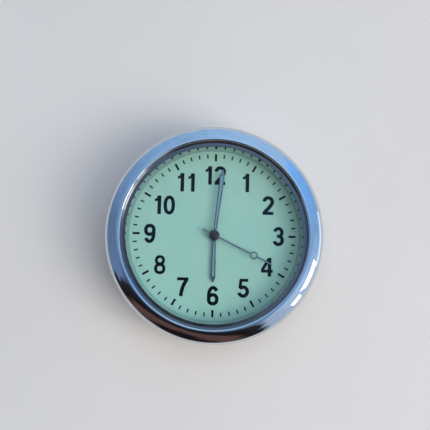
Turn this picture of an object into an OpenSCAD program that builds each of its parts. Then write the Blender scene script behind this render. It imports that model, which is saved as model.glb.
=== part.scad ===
// Round stick-on dashboard clock with a quartz movement.
// The origin is the centre of the adhesive pad's underside, +Z leaves the dial, +Y points to 12 o'clock.
// All sizes are in millimetres.

/* [Case] */
// Widest diameter of the bezel
case_d = 40; // [38:0.5:46]
// Wall of the bezel between its bore and its widest part
bezel_wall = 2.3; // [2.1:0.1:3]
// How much the outside draws in towards the bottom
bezel_taper = 0.55; // [0.3:0.05:1.2]
// Distance of the bezel's crest from its widest part
crest_in = 2.25; // [1.9:0.05:2.4]
// Height of the crest above the glass
crest_rise = 0.7; // [0.5:0.1:1]
// Radius of the broad arc outside the crest
crest_arc_r = 2.76; // [2.4:0.02:4]
// Radius of the roll over the outer edge
edge_roll_r = 1.3; // [0.9:0.1:1.5]
// Rounding of the bezel's bottom edge
foot_round = 0.5; // [0.2:0.1:0.8]
// Height of the bezel's bottom edge above the pad's upper face
skirt_gap = 0.2; // [0.1:0.1:0.5]
// Depth of the lip that holds the glass and its gasket
lip_depth = 0.5; // [0.3:0.1:0.8]
// Rounding of the lip's inner edge
lip_round = 0.28; // [0.1:0.02:0.34]
// Fall of the land between the crest and the lip, in degrees
land_angle = 2.5; // [1:0.5:4]

/* [Glass and dial] */
// Thickness of the glass
glass_t = 1.4; // [1:0.1:1.8]
// Wall of the gasket round the glass
gasket_wall = 0.42; // [0.3:0.02:0.6]
// Width of the gasket's flange behind the lip
gasket_flange = 0.46; // [0.3:0.01:0.6]
// How far the gasket's thin edge reaches over the glass
gasket_lap = 0.52; // [0.3:0.02:0.7]
// Thickness of the gasket's thin edge
gasket_lap_t = 0.08; // [0.04:0.02:0.16]
// How far the gasket falls from the lip to its thin edge
gasket_fall = 0.2; // [0.1:0.02:0.3]
// Room between the dial and the glass
glass_gap = 2.5; // [2.3:0.1:3.2]
// Ledge on which the glass rests
glass_ledge = 0.38; // [0.1:0.02:0.5]
// How far the polished surround slopes inwards down to the dial
surround_slope = 0.46; // [0.3:0.01:1.2]
// Thickness of the dial
dial_t = 0.4; // [0.3:0.05:0.6]
// Diameter of the dial's two feet
dial_foot_d = 1; // [0.8:0.1:1.4]
// Length of the dial's feet
dial_foot_h = 1.5; // [1:0.1:2.5]

/* [Base] */
// Thickness of the foam pad
pad_t = 1; // [0.6:0.1:2]
// How far the foam pad stays in from the base's edge
pad_in = 1.1; // [0.5:0.1:4]
// Thickness of the base's floor
base_floor_t = 1; // [0.8:0.1:1.6]
// Wall of the base's rim
base_wall = 1.2; // [0.9:0.1:1.6]
// Gap between the base's rim and the bezel's bore
base_fit = 0.06; // [0.03:0.01:0.1]

/* [Back] */
// Thickness of the rear cover
cover_t = 0.6; // [0.5:0.05:0.8]
// Height of the snap bead round the rear cover
bead_h = 0.2; // [0.15:0.05:0.3]
// Diameter of the setting knob
knob_d = 5.2; // [4.4:0.1:6]
// Thickness of the setting knob
knob_t = 0.75; // [0.6:0.05:1]
// Room between the knob and the base's floor
knob_room = 0.45; // [0.3:0.05:0.8]
// Width of the coin slot in the battery cap
coin_slot_w = 0.9; // [0.7:0.1:1.2]
// Depth of the coin slot in the battery cap
coin_slot_h = 0.2; // [0.1:0.05:0.25]

/* [Hands] */
// Length of the hour hand from the centre
hour_len = 8.8; // [7:0.1:10]
// Length of the minute hand from the centre
minute_len = 12.4; // [10:0.1:13]
// Length of the second hand from the centre
second_len = 11.9; // [9.5:0.1:12.5]
// Tail of the second hand behind the centre
second_tail = 2.4; // [1.5:0.1:4]
// Width of the hour and minute hands where their points begin
hand_w = 0.9; // [0.7:0.02:1.1]
// Width of the hour and minute hands at the hub
hand_root_w = 0.62; // [0.5:0.02:0.8]
// Length of the hour and minute hands' points
hand_point = 1; // [0.6:0.1:1.6]
// Width of the second hand
second_w = 0.3; // [0.18:0.02:0.4]
// Distance of the second hand's open ring from the centre
ring_at = 8.2; // [7:0.1:8.8]
// Outer diameter of the second hand's open ring
ring_d = 1.45; // [1.2:0.05:1.8]
// Thickness of the hands
hand_t = 0.16; // [0.12:0.02:0.22]
// Angle of the hour hand, clockwise from 12
hour_angle = 180.4; // [0:0.1:360]
// Angle of the minute hand, clockwise from 12
minute_angle = 6.4; // [0:0.1:360]
// Angle of the second hand, clockwise from 12
second_angle = 115.8; // [0:0.1:360]

/* [Movement] */
// Thickness of the train bridge
bridge_t = 0.6; // [0.5:0.05:0.8]
// Room for the wheels between the bridge and the main plate
train_gap = 1.4; // [1.3:0.05:1.7]
// Thickness of the main plate
plate_t = 0.7; // [0.6:0.05:0.9]
// Room between the main plate and the dial
motion_gap = 1; // [0.95:0.05:1.3]
// Thickness of a toothed wheel
wheel_t = 0.22; // [0.16:0.02:0.26]
// Radius of a pivot
pivot_r = 0.2; // [0.15:0.01:0.22]
// Gap between a turning shaft and its hole
shaft_fit = 0.05; // [0.03:0.01:0.08]
// Diameter of the button cell
cell_d = 6.8; // [6.2:0.1:7]
// Height of the button cell
cell_h = 2.6; // [2.4:0.05:2.7]
// Thickness of the contact strips
strip_t = 0.12; // [0.08:0.02:0.16]
// Diameter of the motor coil
coil_d = 2; // [1.7:0.1:2.1]
// Length of the motor coil
coil_len = 8; // [6.5:0.1:8.4]
// Diameter of the rotor magnet
magnet_d = 1.5; // [1.2:0.1:1.7]
// Thickness of the stator and of the coil's core
stator_t = 0.45; // [0.35:0.05:0.5]
// Thickness of the circuit board
board_t = 0.4; // [0.3:0.05:0.5]
// Diameter of the quartz can
quartz_d = 1.2; // [1:0.05:1.25]
// Length of the quartz can
quartz_len = 4.6; // [4:0.1:5.5]
// Diameter of a screw's shank
screw_d = 0.7; // [0.5:0.05:0.8]
// Height of a screw's head
screw_head_h = 0.3; // [0.25:0.05:0.35]

/* [Hidden] */
$fn = 96;

// Cuts reach this far past the faces that they open
over = 0.2;
// Gap between pieces that are stacked in the case
case_fit = 0.1;
// Gap between wheels on neighbouring levels and the plates beside them
level_gap = 0.1;
// Steps in each rounded stretch of the bezel's section
arc_steps = 14;

// Heights, from the pad upwards
z_pad = pad_t;
z_floor = z_pad + base_floor_t;
z_knob = z_floor + knob_room;
knob_gap = 0.1;
z_cover = z_knob + knob_t + knob_gap;
z_inside = z_cover + cover_t;
z_move = z_inside + screw_head_h + level_gap;
z_train = z_move + bridge_t;
z_plate = z_train + train_gap;
z_motion = z_plate + plate_t;
z_dial = z_motion + motion_gap;
z_face = z_dial + dial_t;
z_glass = z_face + glass_gap;
z_glass_top = z_glass + glass_t;
z_top = z_glass_top + crest_rise;
z_skirt = z_pad + skirt_gap;

// Radii of the case
case_r = case_d / 2;
bore_r = case_r - bezel_wall;
stack_r = bore_r - case_fit;
lip_r = stack_r - gasket_flange;
glass_r = lip_r - gasket_wall;
surround_top_r = glass_r - glass_ledge;
surround_low_r = surround_top_r - surround_slope;
crest_r = case_r - crest_in;

// Tooth form, in modules and in shares of the tooth pitch
tooth_add = 0.9;
tooth_ded = 1.15;
tooth_tip = 0.09;
tooth_root = 0.2;

// Teeth and modules of the train
cannon_n = 12;
minute_n = 36;
motion_m = 0.15;
minute_pinion_n = 10;
hour_n = 40;
seconds_pinion_n = 8;
third_n = 60;
third_m = 0.13;
third_pinion_n = 8;
centre_n = 64;
seconds_n = 40;
seconds_m = 0.19;
intermediate_pinion_n = 8;
intermediate_n = 36;
rotor_m = 0.12;
rotor_n = 6;

// Centre distances; wheels that share two axes share the distance
minute_dist = (cannon_n + minute_n) * motion_m / 2;
hour_m = 2 * minute_dist / (minute_pinion_n + hour_n);
third_dist = (seconds_pinion_n + third_n) * third_m / 2;
centre_m = 2 * third_dist / (third_pinion_n + centre_n);
intermediate_dist = (seconds_n + intermediate_pinion_n) * seconds_m / 2;
rotor_step = (intermediate_n + rotor_n) * rotor_m / 2;
setting_n = cannon_n;

// Places of the axes; the angles run from 3 o'clock to 12 o'clock
function polar(r, a) = [r * cos(a), r * sin(a)];
minute_dir = -40;
setting_dir = -10;
third_dir = 150;
intermediate_dir = 25;
rotor_dir = 82;
minute_at = polar(minute_dist, minute_dir);
setting_at = minute_at + polar(minute_dist, setting_dir);
third_at = polar(third_dist, third_dir);
intermediate_at = polar(intermediate_dist, intermediate_dir);
rotor_at = intermediate_at + polar(rotor_step, rotor_dir);

// Turns that bring the teeth of each pair into each other's gaps
function meshed(dir, n_a, turn_a, n_b) = dir + 180 - n_a / n_b * (turn_a - dir) - 180 / n_b;
minute_turn = meshed(minute_dir, cannon_n, 0, minute_n);
setting_turn = meshed(setting_dir, minute_n, minute_turn, setting_n);
hour_turn = meshed(minute_dir + 180, minute_pinion_n, 0, hour_n);
third_turn = meshed(third_dir, seconds_pinion_n, 0, third_n);
centre_turn = meshed(third_dir + 180, third_pinion_n, 0, centre_n);
intermediate_turn = meshed(intermediate_dir, seconds_n, 0, intermediate_pinion_n);
rotor_turn = meshed(rotor_dir, intermediate_n, 0, rotor_n);

// Tip radii of wheels that others have to clear
function tip_r(n, m) = (n / 2 + tooth_add) * m;
function root_r(n, m) = (n / 2 - tooth_ded) * m;
centre_tip = tip_r(centre_n, centre_m);
third_tip = tip_r(third_n, third_m);
intermediate_tip = tip_r(intermediate_n, rotor_m);

// Levels of the wheels behind the main plate
level_step = (train_gap - 2 * level_gap - wheel_t) / 2;
function level(i) = z_train + level_gap + i * level_step;
pinion_over = 0.06;
stud_over = 0.1;
stud_r = pivot_r + stud_over;
shaft_over = 0.05;
thin_shaft_over = 0.02;

// Shafts at the centre, from the inside out
seconds_shaft_r = 0.24;
cannon_wall = 0.22;
cannon_bore_r = seconds_shaft_r + shaft_fit;
cannon_tube_r = cannon_bore_r + cannon_wall;
hour_wall = 0.16;
hour_bore_r = cannon_tube_r + shaft_fit;
hour_tube_r = hour_bore_r + hour_wall;
dial_hole_gap = 0.12;
dial_hole_r = hour_tube_r + dial_hole_gap;

// Heights of the hands, in shares of the room between dial and glass
hour_share = 0.21;
minute_share = 0.45;
second_share = 0.67;
hand_room = glass_gap - hand_t;
z_hour_hand = z_face + hour_share * hand_room;
z_minute_hand = z_face + minute_share * hand_room;
z_second_hand = z_face + second_share * hand_room;
second_t = 0.12;
hub_cap_r = 0.86;
cap_dome_h = 0.24;

// Shape of the hour and minute hands
hub_wall = 0.28;
hub_r = hour_tube_r + hub_wall;
hand_edge = 0.2;
inlay_from = 1.2;

// Battery, seated between the strap on the bridge and the contact in the main plate
cell_r = cell_d / 2;
cell_gap = 0.15;
cell_dir = -130;
cell_at = polar(centre_tip + cell_gap + cell_r, cell_dir);
z_cell = z_move + strip_t;
z_contact = z_cell + cell_h;
z_pocket = z_contact + strip_t;
pocket_r = cell_r + cell_gap;
pan_wall = 0.3;
pan_r = pocket_r + pan_wall;

// Motor, laid out along the line from the centre through the rotor
motor_dir = atan2(rotor_at[1], rotor_at[0]);
rotor_out = norm(rotor_at);
magnet_r = magnet_d / 2;
magnet_gap = 0.2;
stator_hole_r = magnet_r + magnet_gap;
stator_wall = 0.7;
stator_r = stator_hole_r + stator_wall;
coil_r = coil_d / 2;
coil_gap = 0.2;
coil_out = rotor_out + stator_r + coil_gap + coil_r;
core_w = 1;
tab_len = 1.4;
tab_w = 1.5;
tab_at = coil_len / 2 + tab_len / 2;
motor_reach = norm([coil_out + tab_w / 2, coil_len / 2 + tab_len]);
z_stator = z_plate - stator_t;
z_core = z_stator - stator_t;
z_coil = z_core + stator_t / 2;

// Screws
screw_r = screw_d / 2;
screw_head_r = 2 * screw_r;
screw_hold = 1;
pillar_wall = 0.45;
pillar_r = screw_r + pillar_wall;

// Main plate and the ring that carries it
plate_gap = 0.15;
rim_wall = 0.4;
plate_in_r = motor_reach + plate_gap;
plate_r = plate_in_r + rim_wall;
ring_r = plate_r + case_fit;
ring_lip = 0.3;

// Bridge, reaching past the rotor's pivot
bridge_r = rotor_out + stator_r - coil_gap;
bridge_edge = 0.2;
bridge_screw_out = bridge_r - screw_head_r - bridge_edge;
bridge_screw_dirs = [100, -8, -84];
bridge_screw_at = [for (a = bridge_screw_dirs) polar(bridge_screw_out, a)];
strap_w = 2.2;
strap_neck = (screw_r + screw_head_r) / 2;

// Circuit board, a crescent between the coil and the battery
board_start_angle = 82;
board_end_angle = 204;
board_gap = 0.5;
board_in_r = bridge_r + board_gap;
board_out_r = plate_in_r - plate_gap;
board_mid_r = (board_in_r + board_out_r) / 2;
board_sink = 0.3;
z_board = z_train - board_sink;
z_board_top = z_board + board_t;
board_screw_dirs = [88, 186];
board_screw_at = [for (a = board_screw_dirs) polar(board_mid_r, a)];
quartz_dir = 122;
chip_dir = 160;
chip_r = 1;
chip_h = 0.55;
contact_dir = 199;
contact_end = polar(board_mid_r, contact_dir);
contact_way = contact_end - cell_at;
contact_turn = atan2(contact_way[1], contact_way[0]);
strip_w = 1;

// Battery cap with its bayonet
cap_fit = 0.06;
cap_flange_t = cover_t / 2;
cap_margin = 0.9;
cap_r = cell_r + cap_margin;
cap_step = 0.45;
cap_plug_r = cap_r - cap_step;
lug_in = 0.15;
lug_r = cap_r - lug_in;
notch_r = lug_r + cap_fit;
lug_t = 0.24;
lug_angle = 26;
lug_count = 3;
notch_angle = 34;
notch_turn = 50;

// Setting shaft and knob
setting_shaft_r = 0.45;
knob_r = knob_d / 2;
knob_ridges = 24;
knob_ridge_h = 0.14;

// Rear cover and base
bead_w = 0.12;
groove_fit = 0.05;
cover_land_r = plate_in_r;
base_r = bore_r - base_fit;
rim_gap = 0.1;

// Dial feet, on a line through the centre away from the board
dial_foot_dir = 60;
dial_foot_out = (ring_r + surround_low_r) / 2;

// Toothed outline of n teeth, turned so that one tooth points along turn
module gear_2d(n, m, turn) {
    pitch = 360 / n;
    low = root_r(n, m);
    high = tip_r(n, m);
    polygon([
        for (i = [0 : n - 1])
            for (p = [[low, -tooth_root], [high, -tooth_tip], [high, tooth_tip], [low, tooth_root]])
                polar(p[0], turn + (i + p[1]) * pitch)
    ]);
}

module gear(n, m, turn, z, t) {
    translate([0, 0, z])
        linear_extrude(t)
            gear_2d(n, m, turn);
}

module disc(r, z, t) {
    translate([0, 0, z])
        cylinder(r = r, h = t);
}

module ring(r_out, r_in, z, t) {
    difference() {
        disc(r_out, z, t);
        disc(r_in, z - over, t + 2 * over);
    }
}

module at(p) {
    translate([p[0], p[1], 0])
        children();
}

// Four round windows that lighten a wheel
module windows(at_r, r, z, t) {
    for (a = [45 : 90 : 315])
        at(polar(at_r, a))
            disc(r, z - over, t + 2 * over);
}

// Wedge from angle 0 to the given angle, under 180 degrees
module wedge(r, angle, z, t) {
    far = r / cos(angle / 2);
    translate([0, 0, z])
        linear_extrude(t)
            polygon([[0, 0], polar(far, 0), polar(2 * far, angle / 2), polar(far, angle)]);
}

// Screw with its head's seat at height z, entering upwards
module screw(z) {
    slot_w = 0.16;
    slot_h = screw_head_h / 2;
    difference() {
        union() {
            disc(screw_head_r, z - screw_head_h, screw_head_h);
            disc(screw_r, z, bridge_t + screw_hold);
        }
        translate([-screw_head_r - over, -slot_w / 2, z - screw_head_h - over])
            cube([2 * (screw_head_r + over), slot_w, slot_h + over]);
    }
}

// Points of an arc about c, from angle a0 to a1
function arc(c, r, a0, a1) = [for (i = [0 : arc_steps]) c + polar(r, a0 + (a1 - a0) * i / arc_steps)];

module adhesive_pad() {
    color("dimgray")
        disc(base_r - pad_in, 0, pad_t);
}

module base_cup() {
    rim_h = z_cover - rim_gap - z_floor;
    color("black")
        union() {
            disc(base_r, z_pad, base_floor_t);
            ring(base_r, base_r - base_wall, z_floor, rim_h);
        }
}

// Chromed ring; its section runs up the outside, over the crest, down to the lip and back along the bore
module bezel() {
    slope = asin((case_r - crest_r - edge_roll_r) / (crest_arc_r - edge_roll_r));
    arc_c = [crest_r, z_top - crest_arc_r];
    roll_c = arc_c + polar(crest_arc_r - edge_roll_r, 90 - slope);
    land_from = arc_c + polar(crest_arc_r, 90 + land_angle);
    lip_out = [lip_r + lip_round, 0] + polar(lip_round, 90 + land_angle);
    z_land = land_from.y - (land_from.x - lip_out.x) * tan(land_angle);
    lip_c = [lip_r + lip_round, z_land - lip_out.y];
    z_lip = z_glass_top - lip_depth;
    foot_r = case_r - bezel_taper;
    z_bead = z_cover + cover_t / 2;
    section = concat(
        [[bore_r, z_skirt]],
        arc([foot_r - foot_round, z_skirt + foot_round], foot_round, -90, 0),
        arc(roll_c, edge_roll_r, 0, 90 - slope),
        arc(arc_c, crest_arc_r, 90 - slope, 90 + land_angle),
        arc(lip_c, lip_round, 90 + land_angle, 180),
        [[lip_r, z_lip], [bore_r, z_lip]]
    );
    color("silver")
        difference() {
            rotate_extrude()
                polygon(section);
            disc(bore_r + bead_w + groove_fit, z_bead - groove_fit, bead_h + 2 * groove_fit);
        }
}

module crystal_gasket() {
    z_lip = z_glass_top - lip_depth;
    z_lap = z_glass_top + gasket_lap_t;
    lap_out = 0.08;
    color("black")
        rotate_extrude()
            polygon([
                [glass_r, z_glass], [stack_r, z_glass], [stack_r, z_lip], [lip_r, z_lip],
                [lip_r, z_lap + gasket_fall], [glass_r + lap_out, z_lap], [glass_r - gasket_lap, z_lap],
                [glass_r - gasket_lap, z_glass_top], [glass_r, z_glass_top]
            ]);
}

module crystal() {
    edge = 0.12;
    color("lightcyan", 0.3)
        rotate_extrude()
            polygon([
                [0, z_glass], [glass_r, z_glass], [glass_r, z_glass_top - edge],
                [glass_r - edge, z_glass_top], [0, z_glass_top]
            ]);
}

module dial_surround() {
    color("gainsboro")
        rotate_extrude()
            polygon([
                [surround_low_r, z_face], [stack_r, z_face], [stack_r, z_glass], [surround_top_r, z_glass]
            ]);
}

module dial_feet(r, z, h) {
    for (side = [0, 180])
        at(polar(dial_foot_out, dial_foot_dir + side))
            disc(r, z, h);
}

module dial() {
    color("palegreen")
        union() {
            ring(stack_r, dial_hole_r, z_dial, dial_t);
            dial_feet(dial_foot_d / 2, z_dial - dial_foot_h, dial_foot_h);
        }
}

module movement_ring() {
    color("whitesmoke")
        difference() {
            union() {
                ring(stack_r, ring_r, z_move, z_dial - z_move);
                ring(ring_r, plate_r - ring_lip, z_motion, motion_gap);
            }
            dial_feet(dial_foot_d / 2 + shaft_fit, z_dial - dial_foot_h - over, dial_foot_h + 2 * over);
        }
}

// Wedges of the bayonet about the battery's axis
module bayonet(r, angle, turn, z, t) {
    for (i = [0 : lug_count - 1])
        rotate(turn + i * 360 / lug_count - angle / 2)
            intersection() {
                wedge(r, angle, z, t);
                disc(r, z, t);
            }
}

module rear_cover() {
    z_bead = z_cover + cover_t / 2;
    color("black")
        difference() {
            union() {
                disc(stack_r, z_cover, cover_t);
                ring(stack_r, cover_land_r, z_inside, z_move - z_inside);
                ring(bore_r + bead_w, stack_r - bead_w, z_bead, bead_h);
            }
            at(setting_at)
                disc(setting_shaft_r + shaft_fit, z_cover - over, cover_t + 2 * over);
            at(cell_at) {
                disc(cap_r + cap_fit, z_cover - over, cap_flange_t + over);
                disc(cap_plug_r + cap_fit, z_cover - over, cover_t + 2 * over);
                disc(cap_r + 2 * cap_fit, z_inside, z_move - z_inside + over);
                bayonet(notch_r, notch_angle, notch_turn, z_cover + cap_flange_t - over, cover_t);
            }
        }
}

module battery_cap() {
    slot_l = 1.5 * cap_plug_r;
    lug_gap = 0.03;
    color("black")
        at(cell_at)
            difference() {
                union() {
                    disc(cap_r, z_cover, cap_flange_t - lug_gap);
                    disc(cap_plug_r, z_cover, cover_t + lug_gap + lug_t);
                    bayonet(lug_r, lug_angle, 0, z_inside + lug_gap, lug_t);
                }
                translate([-slot_l / 2, -coin_slot_w / 2, z_cover - over])
                    cube([slot_l, coin_slot_w, coin_slot_h + over]);
            }
}

module pivot_hole(p, z, t) {
    at(p)
        disc(pivot_r + shaft_fit, z - over, t + 2 * over);
}

module main_plate() {
    z_floor_pan = z_pocket + pan_wall;
    stud_h = motion_gap - 2 * level_gap;
    coil_sink = z_coil + coil_r + case_fit - z_plate;
    color("ivory")
        difference() {
            union() {
                disc(plate_r, z_plate, plate_t);
                ring(plate_r, plate_in_r, z_move, z_plate - z_move);
                at(cell_at)
                    disc(pan_r, z_plate, z_floor_pan - z_plate);
                at(minute_at)
                    disc(stud_r, z_motion, stud_h);
                for (p = bridge_screw_at)
                    at(p)
                        disc(pillar_r, z_train, train_gap);
                for (p = board_screw_at)
                    at(p)
                        disc(pillar_r, z_board_top, z_plate - z_board_top);
            }
            disc(cannon_tube_r + shaft_fit, z_plate - over, plate_t + 2 * over);
            at(setting_at)
                disc(setting_shaft_r + shaft_fit, z_plate - over, plate_t + 2 * over);
            pivot_hole(third_at, z_plate, plate_t);
            pivot_hole(intermediate_at, z_plate, plate_t);
            pivot_hole(rotor_at, z_plate, plate_t);
            at(cell_at)
                disc(pocket_r, z_plate - over, z_pocket - z_plate + over);
            at(cell_at)
                rotate(contact_turn)
                    translate([0, -strip_w, z_plate - over])
                        cube([pocket_r + 2 * strip_t + case_fit, 2 * strip_w, z_pocket - z_plate + over]);
            for (p = bridge_screw_at)
                at(p)
                    disc(screw_r, z_train - over, screw_hold + over);
            for (p = board_screw_at)
                at(p)
                    disc(screw_r, z_board_top - over, bridge_t + screw_hold - board_t + over);
            rotate(motor_dir) {
                translate([coil_out - coil_r - coil_gap, -coil_len / 2 - coil_gap, z_plate - over])
                    cube([2 * (coil_r + coil_gap), coil_len + 2 * coil_gap, coil_sink + over]);
                for (side = [-1, 1])
                    translate([coil_out, side * tab_at, 0])
                        disc(screw_r, z_plate - over, plate_t + 2 * over);
            }
        }
}

module train_bridge() {
    color("gold")
        difference() {
            disc(bridge_r, z_move, bridge_t);
            at(cell_at)
                disc(pocket_r, z_move - over, bridge_t + 2 * over);
            translate([0, 0, z_move - over])
                linear_extrude(strip_t + over)
                    strap_2d(case_fit);
            pivot_hole([0, 0], z_move, bridge_t);
            pivot_hole(third_at, z_move, bridge_t);
            pivot_hole(intermediate_at, z_move, bridge_t);
            pivot_hole(rotor_at, z_move, bridge_t);
            at(setting_at)
                disc(setting_shaft_r + shaft_fit, z_move - over, bridge_t + 2 * over);
            for (p = bridge_screw_at)
                at(p)
                    disc(screw_r, z_move - over, bridge_t + 2 * over);
        }
}

module bridge_screws() {
    color("silver")
        for (p = bridge_screw_at)
            at(p)
                screw(z_move);
}

module dial_washer() {
    washer_t = 0.08;
    washer_in = 0.5;
    color("goldenrod")
        ring(root_r(hour_n, hour_m) - washer_in, dial_hole_r, z_dial - washer_t, washer_t);
}

// Core of the coil: a flat bar with a tab at each end
module coil_core() {
    color("lightslategray")
        rotate(motor_dir)
            translate([coil_out, 0, z_core])
                difference() {
                    union() {
                        translate([-core_w / 2, -coil_len / 2 - over, 0])
                            cube([core_w, coil_len + 2 * over, stator_t]);
                        for (side = [-1, 1])
                            translate([-tab_w / 2, side * tab_at - tab_len / 2, 0])
                                cube([tab_w, tab_len, stator_t]);
                    }
                    for (side = [-1, 1])
                        translate([0, side * tab_at, 0])
                            disc(screw_r, -over, stator_t + 2 * over);
                }
}

module coil_winding() {
    color("peru")
        rotate(motor_dir)
            translate([coil_out, 0, z_coil])
                difference() {
                    translate([0, coil_len / 2, 0])
                        rotate([90, 0, 0])
                            cylinder(r = coil_r, h = coil_len);
                    translate([-core_w / 2, -coil_len / 2 - over, -stator_t / 2])
                        cube([core_w, coil_len + 2 * over, stator_t]);
                }
}

// Stator plate round the rotor, with an arm out to each tab of the core
module stator() {
    arm_in = rotor_out - stator_r;
    arm_w = tab_len;
    color("silver")
        rotate(motor_dir)
            difference() {
                union() {
                    translate([rotor_out, 0, 0])
                        disc(stator_r, z_stator, stator_t);
                    translate([rotor_out - stator_wall, -tab_at - arm_w / 2, z_stator])
                        cube([2 * stator_wall, 2 * tab_at + arm_w, stator_t]);
                    for (side = [-1, 1])
                        translate([rotor_out - stator_wall, side * tab_at - arm_w / 2, z_stator])
                            cube([coil_out + tab_w / 2 - rotor_out + stator_wall, arm_w, stator_t]);
                }
                translate([rotor_out, 0, 0])
                    disc(stator_hole_r, z_stator - over, stator_t + 2 * over);
                for (side = [-1, 1])
                    translate([coil_out, side * tab_at, 0])
                        disc(screw_r, z_stator - over, stator_t + 2 * over);
            }
}

module motor_screws() {
    hold_share = 0.7;
    hold = 2 * stator_t + hold_share * plate_t;
    color("silver")
        rotate(motor_dir)
            for (side = [-1, 1])
                translate([coil_out, side * tab_at, 0]) {
                    disc(screw_head_r, z_core - screw_head_h, screw_head_h);
                    disc(screw_r, z_core, hold);
                }
}

module rotor_magnet() {
    color("dimgray")
        at(rotor_at)
            ring(magnet_r, stud_r, z_stator, stator_t - level_gap);
}

// Shaft with a pivot at each end that runs in the bridge and in the main plate
module arbor(r) {
    disc(pivot_r, z_move + level_gap, z_motion - z_move - 2 * level_gap);
    disc(r, z_train + level_gap / 2, train_gap - level_gap);
}

module rotor_pinion() {
    color("white")
        at(rotor_at) {
            arbor(pivot_r + shaft_over);
            gear(rotor_n, rotor_m, rotor_turn, level(1) - pinion_over, wheel_t + 2 * pinion_over);
            disc(stud_r, z_stator, stator_t - level_gap);
        }
}

module circuit_board() {
    color("seagreen")
        difference() {
            rotate(board_start_angle)
                intersection() {
                    wedge(board_out_r, board_end_angle - board_start_angle, z_board, board_t);
                    ring(board_out_r, board_in_r, z_board, board_t);
                }
            for (p = board_screw_at)
                at(p)
                    disc(screw_r, z_board - over, board_t + 2 * over);
        }
}

module board_screws() {
    color("silver")
        for (p = board_screw_at)
            at(p)
                screw(z_board);
}

module chip_cover() {
    dome_r = (chip_r * chip_r + chip_h * chip_h) / (2 * chip_h);
    color("black")
        at(polar(board_mid_r, chip_dir))
            intersection() {
                translate([0, 0, z_board_top + chip_h - dome_r])
                    sphere(r = dome_r);
                disc(2 * chip_r, z_board_top, chip_h);
            }
}

module quartz_can() {
    color("silver")
        at(polar(board_mid_r, quartz_dir))
            rotate(quartz_dir)
                translate([0, quartz_len / 2, z_board_top + quartz_d / 2])
                    rotate([90, 0, 0])
                        cylinder(d = quartz_d, h = quartz_len);
}

// Button cell: a can whose front face steps down to the smaller pole
module battery() {
    pole_step = 0.7;
    pole_r = cell_r - pole_step;
    pole_h = 0.3;
    color("silver")
        at(cell_at) {
            disc(cell_r, z_cell, cell_h - pole_h);
            disc(pole_r, z_cell, cell_h);
        }
}

// Outline of the strap's arm, from the cell to the seat of one bridge screw
module strap_2d(grow) {
    seat = bridge_screw_at[2];
    way = seat - cell_at;
    translate(seat)
        circle(r = screw_head_r + bridge_edge + grow);
    translate(cell_at)
        rotate(atan2(way[1], way[0]))
            translate([0, -strap_w / 2 - grow])
                square([norm(way) - strap_neck + grow, strap_w + 2 * grow]);
}

module positive_strap() {
    color("lightgray")
        translate([0, 0, z_move])
            linear_extrude(strip_t)
                difference() {
                    union() {
                        strap_2d(0);
                        translate(cell_at)
                            circle(r = strap_w);
                    }
                    translate(bridge_screw_at[2])
                        circle(r = screw_r);
                }
}

// Strip under the cell's pole that rises beside the cell to the circuit board
module negative_contact() {
    riser = pocket_r + case_fit;
    color("khaki")
        at(cell_at)
            rotate(contact_turn)
                translate([0, -strip_w / 2, 0]) {
                    translate([0, 0, z_contact])
                        cube([riser + strip_t, strip_w, strip_t]);
                    translate([riser, 0, z_board_top])
                        cube([strip_t, strip_w, z_pocket - z_board_top]);
                    translate([riser, 0, z_board_top])
                        cube([norm(contact_way) - riser, strip_w, strip_t]);
                }
}

module intermediate_wheel() {
    z = level(1);
    color("gold")
        at(intermediate_at)
            difference() {
                gear(intermediate_n, rotor_m, 0, z, wheel_t);
                disc(root_r(intermediate_pinion_n, seconds_m), z - over, wheel_t + 2 * over);
            }
}

module intermediate_pinion() {
    z = level(0) - pinion_over;
    color("silver")
        at(intermediate_at) {
            arbor(pivot_r + shaft_over);
            gear(intermediate_pinion_n, seconds_m, intermediate_turn, z, wheel_t + 2 * pinion_over);
            disc(root_r(intermediate_pinion_n, seconds_m), level(0), level(1) + wheel_t - level(0));
        }
}

module seconds_wheel() {
    z = level(0);
    window_at = 2;
    window_r = 0.7;
    color("gold")
        difference() {
            gear(seconds_n, seconds_m, 0, z, wheel_t);
            disc(root_r(seconds_pinion_n, third_m), z - over, wheel_t + 2 * over);
            windows(window_at, window_r, z, wheel_t);
        }
}

module seconds_pinion() {
    z = level(1) - pinion_over;
    color("silver") {
        disc(pivot_r, z_move + level_gap, bridge_t);
        disc(seconds_shaft_r, z_train + level_gap / 2, z_second_hand + second_t - z_train - level_gap / 2);
        disc(root_r(seconds_pinion_n, third_m), level(0), level(1) - level(0));
        gear(seconds_pinion_n, third_m, 0, z, wheel_t + 2 * pinion_over);
    }
}

module third_wheel() {
    z = level(1);
    window_at = 2.1;
    window_r = 0.8;
    color("gold")
        at(third_at)
            difference() {
                gear(third_n, third_m, third_turn, z, wheel_t);
                disc(root_r(third_pinion_n, centre_m), z - over, wheel_t + 2 * over);
                windows(window_at, window_r, z, wheel_t);
            }
}

module third_pinion() {
    z = level(2) - pinion_over;
    color("silver")
        at(third_at) {
            arbor(pivot_r + thin_shaft_over);
            disc(root_r(third_pinion_n, centre_m), level(1), level(2) - level(1));
            gear(third_pinion_n, centre_m, 0, z, wheel_t + 2 * pinion_over);
        }
}

module centre_wheel() {
    z = level(2);
    window_at = 2.2;
    window_r = 0.8;
    color("gold")
        difference() {
            gear(centre_n, centre_m, centre_turn, z, wheel_t);
            disc(cannon_tube_r, z - over, wheel_t + 2 * over);
            windows(window_at, window_r, z, wheel_t);
        }
}

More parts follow.
